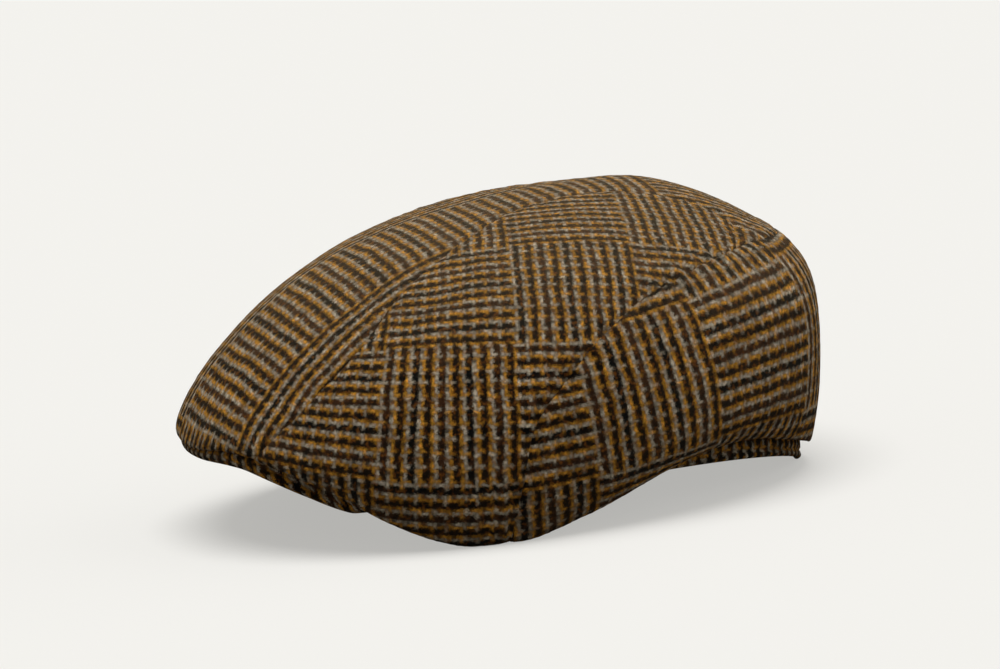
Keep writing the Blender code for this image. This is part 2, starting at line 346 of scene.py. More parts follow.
def ring_plan(ring, angle, inset=0.0):
    """Points of level rings, moved in by inset, as (side, ahead)."""
    centre, half_length, half_width, square = np.moveaxis(ring[..., :4], -1, 0)
    power = 2.0 / square
    return np.stack(np.broadcast_arrays(
        (half_width - inset) * signed_power(np.sin(angle), power),
        centre + (half_length - inset) * signed_power(np.cos(angle), power)), -1)


def disc(degrees, up):
    """Flat map of the crown: the hem is the unit circle and the pole is its middle."""
    angle = np.radians(degrees)
    reach = 1.0 - np.asarray(up, float)
    return np.stack(np.broadcast_arrays(reach * np.sin(angle), reach * np.cos(angle)), -1)


def on_crown(spots):
    """Points of the crown's outer face at spots of the flat map, in millimetres."""
    angle = np.arctan2(spots[..., 0], spots[..., 1])
    ring = ring_at(1.0 - np.minimum(np.linalg.norm(spots, axis=-1), 1.0))
    plan = ring_plan(ring, angle)
    height = np.maximum(ring_height(ring, angle), 0.0)
    return np.stack([plan[..., 0], -plan[..., 1], height], -1)


def crown_normals(spots):
    """Outward normals of the crown at spots of the flat map, kept off its middle and its edge."""
    step = 0.004
    reach = np.maximum(np.linalg.norm(spots, axis=-1, keepdims=True), 1e-6)
    along = spots / reach
    base = along * np.clip(reach, 0.01, 0.995)
    around = np.stack([along[..., 1], -along[..., 0]], -1)
    radial = on_crown(base + along * step) - on_crown(base - along * step)
    turned = on_crown(base + around * step) - on_crown(base - around * step)
    normal = np.cross(radial, turned)
    return normal / np.linalg.norm(normal, axis=-1, keepdims=True)


def seam_spots(table, places):
    """Spots on a seam of the flat map, places counting its rows."""
    spots = disc(*np.array(table).T)
    spots = np.concatenate([[2 * spots[0] - spots[1]], spots, [2 * spots[-1] - spots[-2]]])
    index = np.minimum(places.astype(int), len(table) - 2)
    return catmull(*[spots[index + k] for k in range(4)], (places - index)[:, None])


def along(curve, start, end, shares):
    """Spots at shares of the length of a curve of the flat map, from start to end."""
    spots = curve(np.linspace(start, end, CURVE_STEPS))
    steps = np.linalg.norm(np.diff(on_crown(spots), axis=0), axis=1)
    run = np.concatenate([[0.0], np.cumsum(steps)])
    return np.stack([np.interp(shares * run[-1], run, spots[:, k]) for k in (0, 1)], -1)


def top_seam(shares):
    """The seam beside the top panel, from the peak round the top to the back seam."""
    return along(lambda p: seam_spots(TOP_SEAM, p), 0, len(TOP_SEAM) - 1, shares)


def back_rise(shares):
    """The back seam from the temple up to the top seam."""
    return along(lambda p: seam_spots(BACK_SEAM, p), 0, BACK_SEAM_MEETING, shares)


def back_top(shares):
    """The back seam from the left top seam over the back to the right one."""
    left = along(lambda p: seam_spots(BACK_SEAM, p), BACK_SEAM_MEETING, len(BACK_SEAM) - 1,
                 np.minimum(shares, 1.0 - shares) * 2)
    return left * np.stack([np.where(shares > 0.5, -1.0, 1.0), np.ones_like(shares)], -1)


def hem(start, end, shares):
    """The hem between two places, in degrees from the front."""
    return along(lambda degrees: disc(degrees, 0.0), start, end, shares)


def mirrored(spots):
    return spots * (-1.0, 1.0)


def even(cells):
    return np.linspace(0.0, 1.0, cells + 1)


def crowded(cells, start=True, end=True):
    """Shares that crowd together near the ends, where a seam turns in."""
    crowding = 0.78
    t = even(cells)
    if start and end:
        return t - crowding * np.sin(2 * np.pi * t) / (2 * np.pi)
    side = -1.0 if start else 1.0
    return t + side * crowding * np.sin(np.pi * t) / np.pi


def top_panel_spots():
    """Rows from the peak to the back seam, each from the right seam to the left one."""
    down = crowded(LONG_CELLS, start=False)
    across = crowded(TOP_CELLS)
    left = top_seam(down)
    right = mirrored(left)
    front = disc(FRONT_CORNER * (2 * across - 1), 0.0)
    back = back_top(1.0 - across)
    u = across[None, :, None]
    v = down[:, None, None]

    def straight(row):
        return right[row] * (1 - u) + left[row] * u

    spots = right[:, None] * (1 - u) + left[:, None] * u
    spots = spots + (1 - v) ** 2 * (front - straight(0))
    return spots + v ** 2 * (back - straight(-1))


def side_panel_spots(side):
    """Rows along the top seam, each going down to the hem or the back seam."""
    shares = even(LONG_CELLS)
    hem_row = hem(FRONT_CORNER, TEMPLE_CORNER, np.clip(shares / TEMPLE_SHARE, 0, 1))
    rise = back_rise(np.clip((shares - TEMPLE_SHARE) / (1 - TEMPLE_SHARE), 0, 1))
    lower = np.where(shares[:, None] <= TEMPLE_SHARE, hem_row, rise)
    w = crowded(SIDE_CELLS)[None, :, None]
    spots = top_seam(shares)[:, None] * (1 - w) + lower[:, None] * w
    return spots if side > 0 else mirrored(spots)


def back_panel_spots():
    """Rows round the back, each going from the back seam down to the hem."""
    rise = back_rise(even(BACK_RISE_CELLS))
    seam = np.concatenate([rise, back_top(even(BACK_TOP_CELLS))[1:-1], mirrored(rise)[::-1]])
    hem_row = hem(TEMPLE_CORNER, 360.0 - TEMPLE_CORNER, even(len(seam) - 1))
    w = crowded(BACK_CELLS, end=False)[None, :, None]
    return seam[:, None] * (1 - w) + hem_row[:, None] * w


def drooping(degrees):
    """Share of the front's droop at degrees from the front."""
    return np.exp(-((degrees / DROOP_SPREAD) ** 2))


def seam_tree():
    """Search tree of the points of all seams, how far along its seam each is, and its pucker."""
    fine = even(SEAM_POINTS)
    curves = [top_seam(fine), back_rise(fine)]
    curves += [mirrored(curve) for curve in curves]
    curves.append(back_top(fine))
    points = np.concatenate([on_crown(curve) for curve in curves])
    runs = np.concatenate([fine * np.linalg.norm(np.diff(on_crown(curve), axis=0), axis=1).sum()
                           for curve in curves])
    gathers = (TOP_GATHER, RISE_GATHER, TOP_GATHER, RISE_GATHER, BACK_GATHER)
    gathered = np.repeat(gathers, len(fine))
    tree = kdtree.KDTree(len(points))
    for k, point in enumerate(points):
        tree.insert(point, k)
    tree.balance()
    return tree, runs, gathered


def sewn_surface(spots):
    """Points of the crown's face in metres, with turned seams, puckers, dents and brushed grain."""
    use = sizes()
    points = on_crown(spots)
    normals = crown_normals(spots)
    tree, runs, gathered = seam_tree()
    flat = points.reshape(-1, 3)
    found = [tree.find(point) for point in flat]
    away = np.array([hit[2] for hit in found])
    nearest = [hit[1] for hit in found]
    run = runs[nearest]
    width = use.seam_width / MM
    near = np.clip(1.0 - away / width, 0.0, 1.0)
    turned = use.seam_depth / MM * (1.0 - np.sqrt(1.0 - near ** 2))
    wave = 2 * np.pi * run
    ripple = (np.sin(wave / PUCKER_WAVE + 1.7 * np.sin(wave / PUCKER_DRIFT))
              + 0.6 * np.sin(wave / PUCKER_RIPPLE + 0.8))
    puckers = (use.pucker / MM * gathered[nearest] * ripple
               * np.exp(-((away / PUCKER_REACH) ** 2)))
    swell = SWELL * np.exp(-(((away - SWELL_PLACE) / SWELL_REACH) ** 2))
    broad = np.array([noise.noise(Vector(p) / DENT_BREADTH) for p in flat]) * use.dents / MM
    grain = np.array([noise.noise(Vector(p) / GRAIN_BREADTH) for p in flat]) * use.grain / MM
    lift = swell + puckers + broad + grain - turned
    made = flat + normals.reshape(-1, 3) * lift[:, None]
    up = 1.0 - np.linalg.norm(spots, axis=-1).ravel()
    turn = np.degrees(np.arctan2(spots[..., 0], spots[..., 1])).ravel()
    made[:, 2] -= FRONT_DROOP * drooping(turn) * (1.0 - smooth_step(*DROOP_FADE, up))
    made[:, 2] = np.maximum(made[:, 2], FLOOR_CLEARANCE)
    return made.reshape(points.shape) * MM


def grid_mesh(points, cloth=None):
    """A grid laid on a table of points, with cloth coordinates, and the points that meet merged."""
    rows, columns = points.shape[:2]
    mesh = bmesh.new()
    bmesh.ops.create_grid(mesh, x_segments=rows - 1, y_segments=columns - 1, size=1.0)
    layer = mesh.loops.layers.uv.new("cloth")
    for vert in mesh.verts:
        row = round((vert.co.x + 1) / 2 * (rows - 1))
        column = round((vert.co.y + 1) / 2 * (columns - 1))
        vert.co = points[row, column]
        if cloth is not None:
            for loop in vert.link_loops:
                loop[layer].uv = cloth[row, column]
    bmesh.ops.remove_doubles(mesh, verts=mesh.verts, dist=MERGE_GAP)
    mesh.normal_update()
    return mesh


def made_object(name, mesh):
    """Makes an object with smooth faces of a bmesh."""
    data = bpy.data.meshes.new(name)
    mesh.to_mesh(data)
    mesh.free()
    data.shade_smooth()
    made = bpy.data.objects.new(name, data)
    bpy.context.scene.collection.objects.link(made)
    return made


def face_outward(mesh):
    """Turns the faces of an open crown panel outward."""
    inside = Vector((0.0, 0.0, HEIGHT * MM * 0.3))
    facing = sum((face.calc_center_median() - inside).dot(face.normal) for face in mesh.faces)
    if facing < 0:
        bmesh.ops.reverse_faces(mesh, faces=mesh.faces)


def flat_pattern(points):
    """Where a table of points of the crown lies, in millimetres, when its panel is laid flat."""
    mesh = grid_mesh(points * MM)
    face_outward(mesh)
    piece = made_object("flat pattern", mesh)
    bpy.context.view_layer.objects.active = piece
    piece.select_set(True)
    bpy.ops.object.mode_set(mode="EDIT")
    bpy.ops.mesh.select_all(action="SELECT")
    bpy.ops.uv.unwrap(method="ANGLE_BASED", margin=0.0)
    bpy.ops.object.mode_set(mode="OBJECT")
    data = piece.data
    places = np.array([vert.co[:] for vert in data.vertices]) / MM
    flat = np.zeros((len(data.vertices), 2))
    covered = 0.0
    for face in data.polygons:
        corners = np.array([data.uv_layers["cloth"].uv[k].vector for k in face.loop_indices])
        flat[list(face.vertices)] = corners
        x, y = corners.T
        covered += abs(np.dot(x, np.roll(y, -1)) - np.dot(y, np.roll(x, -1))) / 2
    flat *= math.sqrt(sum(face.area for face in data.polygons) / covered) / MM
    bpy.data.objects.remove(piece)
    bpy.data.meshes.remove(data)
    spread = points.reshape(-1, 1, 3) - places
    nearest = (spread ** 2).sum(-1).argmin(1)
    return flat[nearest].reshape(*points.shape[:2], 2)


def refined(table, factor):
    """A table with smooth values at factor steps between its rows."""
    ends = np.concatenate([[2 * table[0] - table[1]], table, [2 * table[-1] - table[-2]]])
    place = np.linspace(0, len(table) - 1, (len(table) - 1) * factor + 1)
    index = np.minimum(place.astype(int), len(table) - 2)
    return catmull(*[ends[index + k] for k in range(4)], (place - index)[:, None, None])


def laid_checks(spots, checks):
    """Cloth coordinates over a panel in millimetres, laid so its checks are in place, and its size.

    The flat pattern is turned, moved and scaled evenly until the chosen corners of its checks lie
    nearest their places. The size is that of the flat pattern before it is scaled, in metres.
    """
    flat = flat_pattern(on_crown(spots[::COARSE, ::COARSE]))
    flat = refined(refined(flat, COARSE).swapaxes(0, 1), COARSE).swapaxes(0, 1)
    points = on_crown(spots).reshape(-1, 3)
    thread = sizes().thread / MM
    there = []
    for (degrees, up), _counts in checks:
        wanted = on_crown(disc(degrees, up)[None])[0]
        there.append(flat.reshape(-1, 2)[((points - wanted) ** 2).sum(1).argmin()])
    wanted = np.array([counts for _place, counts in checks]) * thread * (1.0, -1.0)
    there = np.array(there)
    moved = there - there.mean(0)
    target = wanted - wanted.mean(0)
    cross = (moved[:, 0] * target[:, 1] - moved[:, 1] * target[:, 0]).sum()
    dot = (moved * target).sum()
    cosine, sine = np.array([dot, cross]) / (moved ** 2).sum()
    rotation = np.array([[cosine, sine], [-sine, cosine]])
    laid = (flat - there.mean(0)) @ rotation * (1.0, -1.0) + wanted.mean(0) * (1.0, -1.0)
    return laid, np.ptp(laid.reshape(-1, 2), axis=0) / math.hypot(cosine, sine) * MM


def give_wall(piece, thickness):
    """Gives a face its cloth wall on the inner side."""
    wall = piece.modifiers.new("cloth wall", "SOLIDIFY")
    wall.thickness = thickness
    wall.offset = -1.0
    wall.use_even_offset = False


def dress(piece, node, material):
    """Gives a piece its cloth and lets it stand for its solid."""
    piece.data.materials.append(material)
    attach(piece, "root")
    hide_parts(node)


def panel(name, node, spots, checks, material):
    """Makes one panel of the crown and gives it its cloth."""
    cloth, flat_size = laid_checks(spots, checks)
    mesh = grid_mesh(sewn_surface(spots), cloth)
    face_outward(mesh)
    area = sum(face.calc_area() for face in mesh.faces)
    piece = made_object(name, mesh)
    give_wall(piece, sizes().cloth)
    dress(piece, node, material)


def add(tree, kind, inputs=(), **settings):
    """Adds a node. Inputs go by order or by name, and one that is a socket is linked."""
    made = tree.nodes.new("ShaderNode" + kind)
    for name, value in settings.items():
        setattr(made, name, value)
    pairs = inputs.items() if isinstance(inputs, dict) else enumerate(inputs)
    for key, value in pairs:
        if isinstance(value, bpy.types.NodeSocket):
            tree.links.new(value, made.inputs[key])
        else:
            made.inputs[key].default_value = value
    return made


# Yarns in the order that they are woven, the same both ways: two dark, one grey, one mustard.
YARN_ORDER = (
    (0, "black"), (2, "grey"), (3, "mustard"),
    (4, "brown"), (6, "mustard"), (7, "grey"),
    (8, "rust"), (10, "grey"), (11, "mustard"),
    (12, "brown"), (14, "mustard"), (15, "grey"),
)
ORDER_LENGTH = 16

# Unevenness of the wool: patches a millimetre, fineness, and threads that it bends the weave by.
# The patches are about 17 mm, 1.4 mm and 0.4 mm wide: drawn cloth, thick yarn and loose hairs.
UNEVENNESS = ((0.06, 1.0, 1.2), (0.7, 1.0, 0.8), (2.7, 2.0, 2.2))

# The weave: threads before the twill repeats, those with the warp on top, the shift that turns
# rows to columns at a new block, where the twill starts, and the threads that a block begins
# before its count.
TWILL_REPEAT = 4.0
WARP_UP_BELOW = 1.5
BLOCK_SHIFT = 2.0
TWILL_START = 5.0
BLOCK_START = 1.01

# Threads across a block too wide to end on its piece, where the cloth is cut in narrow strips.
PLAIN_CHECK = 4000

# How much the rows show as unbroken lines of one yarn: long straight rows, and broken ones.
LONG_ROWS = 0.42
BROKEN_ROWS = 0.22


def yarn_colour(tree, count):
    """Colour of a thread by its count in the order."""
    turn = add(tree, "Math", (count, float(ORDER_LENGTH)), operation="FLOORED_MODULO").outputs[0]
    share = add(tree, "Math", (turn, 1 / ORDER_LENGTH, 0.5 / ORDER_LENGTH),
                operation="MULTIPLY_ADD").outputs[0]
    ramp = add(tree, "ValToRGB", (share,))
    stops = ramp.color_ramp
    stops.interpolation = "CONSTANT"
    for place, _yarn in YARN_ORDER[2:]:
        stops.elements.new(place / ORDER_LENGTH)
    for stop, (place, yarn) in zip(stops.elements, YARN_ORDER):
        stop.position = place / ORDER_LENGTH
        stop.color = getattr(colours(), yarn)
    return ramp.outputs[0]


def uneven_threads(tree, cloth):
    """Place on the cloth counted in threads both ways, bent by the soft uneven wool."""
    pitch = sizes().thread / MM
    middle = -0.5 * sum(bend for _patches, _fineness, bend in UNEVENNESS)
    threads = add(tree, "VectorMath", (cloth, (1 / pitch, 1 / pitch, 0.0), (middle, middle, 0.0)),
                  operation="MULTIPLY_ADD").outputs[0]
    for patches, fineness, bend in UNEVENNESS:
        wool = add(tree, "TexNoise", {"Vector": cloth, "Scale": patches, "Detail": fineness},
                   noise_dimensions="2D").outputs["Color"]
        threads = add(tree, "VectorMath", (wool, (bend, bend, 0.0), threads),
                      operation="MULTIPLY_ADD").outputs[0]
    return threads


def block_number(tree, counts, across_check, down_check):
    """Blocks of the check counted across and down, added together."""
    begun = add(tree, "VectorMath", (counts, (BLOCK_START, BLOCK_START, 0.0)),
                operation="ADD").outputs[0]
    blocks = add(tree, "VectorMath", (begun, (1 / across_check, 1 / down_check, 0.0)),
                 operation="MULTIPLY").outputs[0]
    blocks = add(tree, "VectorMath", (blocks,), operation="FLOOR").outputs[0]
    block = add(tree, "SeparateXYZ", (blocks,)).outputs
    return add(tree, "Math", (block[0], block[1]), operation="ADD").outputs[0]


def twill_step(tree, count, block):
    """Step of the twill where two threads cross, and whether the warp lies on top there."""
    crossing = add(tree, "Math", (count[0], count[1]), operation="ADD").outputs[0]
    shift = add(tree, "Math", (block, BLOCK_SHIFT, TWILL_START), operation="MULTIPLY_ADD").outputs[0]
    step = add(tree, "Math", (crossing, shift), operation="ADD").outputs[0]
    step = add(tree, "Math", (step, TWILL_REPEAT), operation="FLOORED_MODULO").outputs[0]
    warp_up = add(tree, "Math", (step, WARP_UP_BELOW), operation="LESS_THAN").outputs[0]
    return step, warp_up


def woven_colour(tree, count, block, warp_up, run_share):
    """Colour of the yarn on top, with a share of the yarn that runs on along its row."""
    warp = yarn_colour(tree, count[0])
    weft = yarn_colour(tree, count[1])
    face = add(tree, "Mix", {0: warp_up, 6: weft, 7: warp}, data_type="RGBA").outputs[2]
    in_rows = add(tree, "Math", (block, 2.0), operation="FLOORED_MODULO").outputs[0]
    row = add(tree, "Mix", {0: in_rows, 6: warp, 7: weft}, data_type="RGBA").outputs[2]
    return add(tree, "Mix", {0: run_share, 6: face, 7: row}, data_type="RGBA").outputs[2]


def melange(tree, cloth, counts, face):
    """Yarn spun of mixed wool: each short stretch is paler or darker, with orange flecks.

    The mottling is about 5 mm wide and the flecks about 2 mm.
    """
    stretch = add(tree, "VectorMath", (counts, (0.5, 0.5, 0.0)), operation="MULTIPLY").outputs[0]
    stretch = add(tree, "VectorMath", (stretch,), operation="FLOOR").outputs[0]
    chance = add(tree, "TexWhiteNoise", {"Vector": stretch}, noise_dimensions="2D").outputs["Value"]
    lift = add(tree, "Math", (chance, 0.6, 0.7), operation="MULTIPLY_ADD").outputs[0]
    mottle = add(tree, "TexNoise",
                 {"Vector": cloth, "Scale": 0.22, "Detail": 3.0, "Roughness": 0.65},
                 noise_dimensions="2D").outputs["Fac"]
    mottle = add(tree, "MapRange", (mottle, 0.3, 0.7, 0.68, 1.26)).outputs[0]
    lift = add(tree, "Math", (lift, mottle), operation="MULTIPLY").outputs[0]
    face = add(tree, "VectorMath", {0: face, "Scale": lift}, operation="SCALE").outputs[0]
    fleck = add(tree, "TexNoise", {"Vector": cloth, "Scale": 0.42, "Detail": 2.0},
                noise_dimensions="2D").outputs["Fac"]
    fleck = add(tree, "MapRange", (fleck, 0.56, 0.70, 0.0, 0.45)).outputs[0]
    return add(tree, "Mix", {0: fleck, 6: face, 7: tuple(colours().orange)},
               data_type="RGBA").outputs[2]


def thread_relief(tree, threads, step, warp_up):
    """Relief of the weave: a thread is round across and dives under at both ends of its float."""
    shares = add(tree, "VectorMath", (threads,), operation="FRACTION").outputs[0]
    share = add(tree, "SeparateXYZ", (shares,)).outputs
    across = add(tree, "Mix", {0: warp_up, 2: share[1], 3: share[0]}, data_type="FLOAT").outputs[0]
    length = add(tree, "Mix", {0: warp_up, 2: share[0], 3: share[1]}, data_type="FLOAT").outputs[0]
    place = add(tree, "Math", (step, length), operation="ADD").outputs[0]
    place = add(tree, "Math", (place, 0.5, -1.0), operation="MULTIPLY_ADD").outputs[0]
    place = add(tree, "Math", (place, warp_up), operation="ADD").outputs[0]
    arch = add(tree, "Math", (place, math.pi), operation="MULTIPLY").outputs[0]
    arch = add(tree, "Math", (arch,), operation="SINE").outputs[0]
    arch = add(tree, "Math", (arch, 0.75, 0.25), operation="MULTIPLY_ADD").outputs[0]
    rounded = add(tree, "Math", (across, math.pi), operation="MULTIPLY").outputs[0]
    rounded = add(tree, "Math", (rounded,), operation="SINE").outputs[0]
    return add(tree, "Math", (arch, rounded), operation="MULTIPLY").outputs[0]


def fibres_and_painted_sheen(tree, loose, face):
    """Lays pale fibres over the face, most on the top of the crown: partly loose fibres and partly
    painted sheen of the light from above. Heights are in metres.
    """
    place = add(tree, "TexCoord").outputs["Object"]
    height = add(tree, "SeparateXYZ", (place,)).outputs[2]
    # Painted sheen: the cloth is painted paler higher up the crown, as if lit from above.
    sheen_from_above = add(tree, "MapRange", (height, 0.070, 0.130, 0.010, 0.34)).outputs[0]
    patchy = add(tree, "MapRange", (loose, 0.35, 0.75, 0.35, 1.0)).outputs[0]
    cover = add(tree, "Math", (sheen_from_above, patchy), operation="MULTIPLY").outputs[0]
    return add(tree, "Mix", {0: cover, 6: face, 7: tuple(colours().fuzz_and_sheen)},
               data_type="RGBA").outputs[2]


def tweed(name, across_check, down_check, run_share):
    """Brushed wool tweed, a 2/2 twill with two dark and two pale threads in turn both ways.

    Where the twill shifts by two threads the pattern turns from rows to columns, so the cloth shows
    blocks of rows and columns. The brushed face blurs the edges of the threads. Pale fibres are laid
    over it, most on the top of the crown, partly loose fibres and partly painted sheen of the light
    from above, and the sheen of the cloth catches the light where it turns away.
    """
    material = bpy.data.materials.new(name)
    material.use_nodes = True
    tree = material.node_tree
    cloth = add(tree, "UVMap", uv_map="cloth").outputs[0]
    threads = uneven_threads(tree, cloth)
    counts = add(tree, "VectorMath", (threads,), operation="FLOOR").outputs[0]
    count = add(tree, "SeparateXYZ", (counts,)).outputs
    block = block_number(tree, counts, across_check, down_check)
    step, warp_up = twill_step(tree, count, block)
    face = woven_colour(tree, count, block, warp_up, run_share)
    face = melange(tree, cloth, counts, face)

    # Painted shade: threads are darker where they dive under their neighbours.
    relief = thread_relief(tree, threads, step, warp_up)
    shade = add(tree, "Math", (relief, 1.0, 0.34), operation="MULTIPLY_ADD").outputs[0]
    face = add(tree, "VectorMath", {0: face, "Scale": shade}, operation="SCALE").outputs[0]

    # Loose fibres about 1 mm apart, and the relief in metres that they and the threads give.
    loose = add(tree, "TexNoise", {"Vector": cloth, "Scale": 0.9, "Detail": 4.0, "Roughness": 0.7,
                                   "Distortion": 1.6}, noise_dimensions="2D").outputs["Fac"]
    # Pale fibres, most on the top of the crown: partly loose fibres, partly painted sheen from
    # above.
    face = fibres_and_painted_sheen(tree, loose, face)
    height = add(tree, "Math", (loose, 0.7, relief), operation="MULTIPLY_ADD").outputs[0]
    bump = add(tree, "Bump", {"Height": height, "Strength": 0.75, "Distance": 0.0006}).outputs[0]

    shader = tree.nodes["Principled BSDF"]
    tree.links.new(face, shader.inputs["Base Color"])
    tree.links.new(bump, shader.inputs["Normal"])
    shader.inputs["Roughness"].default_value = 0.95
    shader.inputs["Specular IOR Level"].default_value = 0.05
    shader.inputs["Sheen Weight"].default_value = 0.12
    shader.inputs["Sheen Roughness"].default_value = 0.28
    shader.inputs["Sheen Tint"].default_value = linear("#C9B591")
    return material


def peak_edge(angle):
    """Upper outer edge of the peak, in millimetres."""
    turn = abs(math.degrees(angle))
    under_roll = ring_plan(ROLL_RING, angle, PEAK_INSET)
    within_hem = ring_plan(HEM_RING, angle, BAND_GAP)
    share = smooth_step(*PEAK_MOVES_IN, turn)
    plan = under_roll * (1 - share) + within_hem * share
    tuck = PEAK_TUCK * smooth_step(*PEAK_TUCKS, turn)
    height = ring_height(ROLL_RING, angle) - BAND_GAP + tuck
    return np.array([plan[0], -plan[1], height])


def band_plan(angle, inset):
    """Plan of the rim band: it follows the hem at the back and closes behind the peak."""
    spot = ring_plan(HEM_RING, angle, BAND_GAP + inset)
    if math.cos(angle) <= 0:
        return spot
    reach = BAND_FRONT - HEM_RING[0] - inset
    return np.array([spot[0], HEM_RING[0] + reach * math.cos(angle) ** (2.0 / HEM_RING[3])])


def peak_brow(share):
    """Upper inner edge of the peak against the rim band, in millimetres."""
    end = peak_edge(math.radians(PEAK_END_ANGLE))
    plan = band_plan(math.radians(PEAK_END_ANGLE - PEAK_BROW_LAP) * share, -BAND_GAP)
    height = end[2] + (PEAK_BROW - end[2]) * math.cos(math.pi / 2 * share) ** PEAK_BROW_POWER
    return np.array([plan[0], -plan[1], height])


def peak_section(share):
    """Points round the peak's section at a share of its half span."""
    turn = PEAK_END_ANGLE * abs(share)
    droop = drooping(turn)
    edge = peak_edge(math.radians(PEAK_END_ANGLE) * share) - (0.0, 0.0, FRONT_DROOP * droop)
    brow = peak_brow(share)
    deeper = smooth_step(*PEAK_DEEPENS, turn) * (1.0 - smooth_step(*PEAK_EVENS, turn))
    lowered = smooth_step(*PEAK_TUCKS, turn) - smooth_step(*PEAK_LIFTS, turn)
    thick = (PEAK_THICK - PEAK_FRONT_THINNER * droop + PEAK_SIDE_DEEPER * deeper
             + PEAK_TUCK * lowered)
    inward = brow - edge
    width = np.linalg.norm(inward)
    inward = inward / width
    rounding = min(PEAK_ROUND, width * 0.4)
    down = np.array([0.0, 0.0, -1.0])
    upper = [brow + (edge - brow) * t * (1 - rounding / width) for t in even(PEAK_FACE_CELLS)]
    rounded = []
    for level, start in ((rounding, 0.0), (thick - rounding, math.pi / 2)):
        for bend in start + math.pi / 2 * even(PEAK_ROUND_CELLS):
            rounded.append(edge + inward * rounding * (1 - math.sin(bend))
                           + down * (level - rounding * math.cos(bend)))
    lower = [point + down * (PEAK_THICK + (thick - PEAK_THICK) * t)
             for point, t in zip(upper, even(PEAK_FACE_CELLS))]
    return [*upper, *rounded, *reversed(lower), upper[0]]


def peak_points():
    """Sections of the peak from one end to the other, in metres."""
    sections = [peak_section(share) for share in np.linspace(-1, 1, PEAK_SECTIONS + 1)]
    return np.array(sections) * MM


def band_edges(angle):
    """Heights of the lower and upper edges of the rim band."""
    rim = float(ring_height(HEM_RING, angle))
    turn = abs(math.degrees(math.atan2(math.sin(angle), math.cos(angle))))
    fall = (turn - BAND_RISE_ANGLE) / (BAND_FLAT_ANGLE - BAND_RISE_ANGLE)
    shown = BAND_RISE * math.cos(math.pi / 2 * min(max(fall, 0.0), 1.0))
    low = min(shown, max(rim - BAND_FLOOR_GAP, BAND_FLOOR_GAP))
    high = max(rim, low) + BAND_LAP
    brow = 1.0 - smooth_step(*BAND_BROW, turn)
    front_low = PEAK_BROW - PEAK_THICK
    low = low + (front_low - low) * brow
    high = high + (front_low + BAND_FRONT_TALL - high) * brow
    return low, high


def band_section(angle):
    """Points round the rim band's section, rounded below, with the groove above its turned edge."""
    low, high = band_edges(angle)
    half = BAND_THICK / 2
    section = []
    for down in even(BAND_OUTER_CELLS):
        z = high + (low + half - high) * down
        dip = GROOVE_DEPTH * math.exp(-(((z - low - GROOVE_HEIGHT) / GROOVE_WIDTH) ** 2))
        section.append((dip, z))
    for turn in math.pi * even(BAND_ROUND_CELLS)[1:-1]:
        section.append((half * (1 - math.cos(turn)), low + half * (1 - math.sin(turn))))
    section += [(BAND_THICK, low + half + (high - low - half) * up)
                for up in even(BAND_INNER_CELLS)]
    section.append(section[0])
    points = []
    for inset, z in section:
        plan = band_plan(angle, inset)
        points.append((plan[0], -plan[1], z))
    return points


def band_points():
    """Sections of the rim band once round the head, in metres."""
    sections = [band_section(angle) for angle in 2 * math.pi * even(BAND_SECTIONS)]
    return np.array(sections) * MM


def wrapped_piece(name, points, closed):
    """A long piece skinned over its sections, with cloth coordinates along it and round it."""
    start = 10.0
    rows, columns = points.shape[:2]
    middle = points[:, :columns // 2].mean(axis=1)
    run = np.concatenate([[0.0], np.cumsum(np.linalg.norm(np.diff(middle, axis=0), axis=1))])
    rounds = np.linalg.norm(np.diff(points, axis=1), axis=2)
    wrap = np.concatenate([np.zeros((rows, 1)), np.cumsum(rounds, axis=1)], axis=1)
    cloth = np.stack(np.broadcast_arrays(run[:, None], wrap), -1) / MM + start
    mesh = grid_mesh(points, cloth)
    if not closed:
        edges = [edge for edge in mesh.edges if edge.is_boundary]
        bmesh.ops.holes_fill(mesh, edges=edges, sides=0)
    bmesh.ops.recalc_face_normals(mesh, faces=mesh.faces)
    return made_object(name, mesh)


class CAP_OT_top_panel(bpy.types.Operator):
    """Makes the middle panel of the crown, from the peak to the back seam"""

    bl_idname = "cap.top_panel"
    bl_label = "Top panel"

    def execute(self, context):
        panel("crown_top", "top_panel", top_panel_spots(), TOP_CHECKS,
              tweed("brushed wool tweed, top", sizes().check, 4 * sizes().check, LONG_ROWS))
        return {"FINISHED"}


class CAP_OT_side_panels(bpy.types.Operator):
    """Makes the two side panels of the crown, with the lobe at each temple"""

    bl_idname = "cap.side_panels"
    bl_label = "Side panels"

    def execute(self, context):
        cloth = tweed("brushed wool tweed, sides", sizes().check, sizes().check, BROKEN_ROWS)
        for side, label, checks in ((1, "left", LEFT_CHECKS), (-1, "right", RIGHT_CHECKS)):
            panel("crown_side_" + label, "side_panel_" + label,
                  side_panel_spots(side), checks, cloth)
        return {"FINISHED"}


class CAP_OT_back_panel(bpy.types.Operator):
    """Makes the panel round the back of the crown"""

    bl_idname = "cap.back_panel"
    bl_label = "Back panel"

    def execute(self, context):
        panel("crown_back", "back_panel", back_panel_spots(), BACK_CHECKS,
              tweed("brushed wool tweed, back", sizes().check, sizes().check, LONG_ROWS))
        return {"FINISHED"}


class CAP_OT_peak(bpy.types.Operator):
    """Makes the short arched peak under the front of the crown"""

    bl_idname = "cap.peak"
    bl_label = "Peak"

    def execute(self, context):
        piece = wrapped_piece("peak_cover", peak_points(), closed=False)
        cloth = tweed("brushed wool tweed, peak", PLAIN_CHECK, PLAIN_CHECK, 0.0)
        dress(piece, "peak", cloth)
        return {"FINISHED"}


class CAP_OT_rim_band(bpy.types.Operator):
    """Makes the turned rim round the head opening"""

    bl_idname = "cap.rim_band"
    bl_label = "Rim band"

    def execute(self, context):
        piece = wrapped_piece("rim_cover", band_points(), closed=True)
        cloth = tweed("brushed wool tweed, rim", PLAIN_CHECK, PLAIN_CHECK, 0.0)
        dress(piece, "rim_band", cloth)
        return {"FINISHED"}


